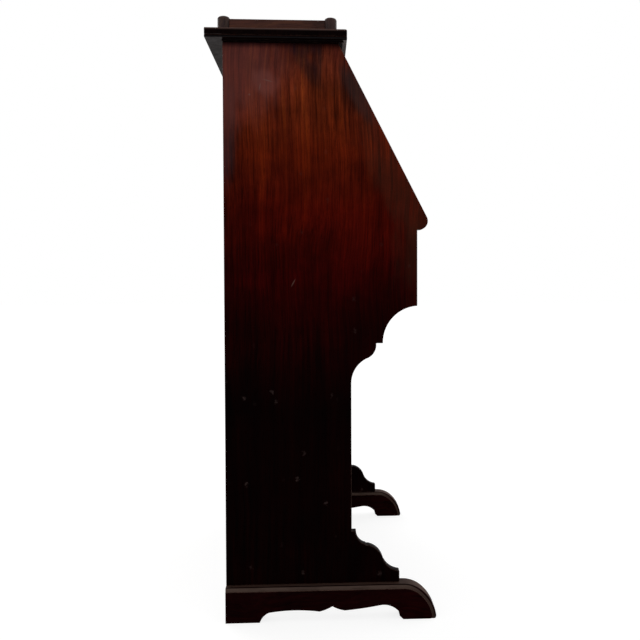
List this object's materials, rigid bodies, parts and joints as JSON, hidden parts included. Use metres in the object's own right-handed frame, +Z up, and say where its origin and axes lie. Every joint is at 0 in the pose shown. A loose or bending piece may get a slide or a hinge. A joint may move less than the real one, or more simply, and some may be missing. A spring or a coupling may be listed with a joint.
{
  "type": "writing bureau",
  "caption": "Tall narrow writing bureau on sled feet: sloping fall with fitted interior, lopers, one long drawer, open book shelves and a low gallery on its moulded top.",
  "frame": {"origin": "centre of the object's box, on the floor", "axes": "+Z up, -Y towards the front, X across the width"},
  "size_m": [0.77, 0.441, 1.165],
  "materials": {
    "mahogany": "polished",
    "pine": "unpolished",
    "brass": "aged",
    "steel": "aged",
    "leather": "worn"
  },
  "bodies": {
    "carcass": {"left_side": "mahogany", "right_side": "mahogany", "left_foot": "mahogany", "right_foot": "mahogany", "top_board": "mahogany", "bed_mould": "mahogany", "gallery_posts": "mahogany", "gallery_rails": "mahogany", "back_boards": "pine", "back_screws": "steel", "bottom_shelf": "mahogany", "plinth_apron": "mahogany", "middle_shelf": "mahogany", "shelf_battens": "pine", "drawer_rail": "mahogany", "dust_board": "pine", "drawer_stops": "pine", "fall_stops": "pine", "loper_partitions": "mahogany", "loper_pegs": "steel", "desk_floor": "mahogany", "top_rail": "mahogany", "strike_plate": "brass", "pigeonhole_top": "mahogany", "pigeonhole_dividers": "mahogany", "tier_shelf": "mahogany", "tier_dividers": "mahogany", "hinge_floor_leaves": "brass", "hinge_pins": "brass", "hinge_floor_screws": "brass"},
    "fall": {"fall_panel": "mahogany", "fall_cleats": "mahogany", "writing_leather": "leather", "hinge_fall_leaves": "brass", "hinge_fall_screws": "brass", "fall_lock": "steel", "fall_escutcheon": "brass"},
    "bolt": {"lock_bolt": "brass"},
    "key": {"fall_key": "steel"},
    "loper_unit_left": {"left_loper": "mahogany", "left_loper_knob": "brass"},
    "loper_unit_right": {"right_loper": "mahogany", "right_loper_knob": "brass"},
    "long_drawer": {"drawer_front": "mahogany", "drawer_sides": "pine", "drawer_back": "pine", "drawer_bottom": "pine", "drawer_lock": "steel", "drawer_escutcheon": "brass", "handle_plates": "brass", "handle_posts": "brass", "handle_nuts": "brass"},
    "bail_unit_left": {"left_bail": "brass"},
    "bail_unit_right": {"right_bail": "brass"},
    "small_drawer_left": {"left_small_front": "mahogany", "left_small_tray": "pine", "left_small_knob": "brass"},
    "small_drawer_right": {"right_small_front": "mahogany", "right_small_tray": "pine", "right_small_knob": "brass"}
  },
  "joints": [
    {"name": "fall_hinge", "type": "hinge", "parent": "carcass", "child": "fall", "pos_m": [0, -0.1849, 0.775], "axis": [1, 0, 0], "range_deg": [0, 117.3]},
    {"name": "key_turn", "type": "hinge", "parent": "fall", "child": "key", "pos_m": [0, -0.06005, 1.0605], "axis": [0, -0.8886, 0.4587], "range_deg": [0, 90]},
    {"name": "bolt_throw", "type": "slide", "parent": "fall", "child": "bolt", "axis": [0, 0.4587, 0.8886], "range_m": [0, 0.006]},
    {"name": "left_loper_slide", "type": "slide", "parent": "carcass", "child": "loper_unit_left", "axis": [0, -1, 0], "range_m": [0, 0.22]},
    {"name": "right_loper_slide", "type": "slide", "parent": "carcass", "child": "loper_unit_right", "axis": [0, -1, 0], "range_m": [0, 0.22]},
    {"name": "drawer_slide", "type": "slide", "parent": "carcass", "child": "long_drawer", "axis": [0, -1, 0], "range_m": [0, 0.24]},
    {"name": "left_bail_swing", "type": "hinge", "parent": "long_drawer", "child": "bail_unit_left", "pos_m": [-0.2, -0.1937, 0.694], "axis": [-1, 0, 0], "range_deg": [0, 90]},
    {"name": "right_bail_swing", "type": "hinge", "parent": "long_drawer", "child": "bail_unit_right", "pos_m": [0.2, -0.1937, 0.694], "axis": [-1, 0, 0], "range_deg": [0, 90]},
    {"name": "left_small_slide", "type": "slide", "parent": "carcass", "child": "small_drawer_left", "axis": [0, -1, 0], "range_m": [0, 0.105]},
    {"name": "right_small_slide", "type": "slide", "parent": "carcass", "child": "small_drawer_right", "axis": [0, -1, 0], "range_m": [0, 0.105]}
  ],
  "couplings": [
    {"joint": "bolt_throw", "follows": "key_turn", "m_per_rad": 0.0038197}
  ]
}
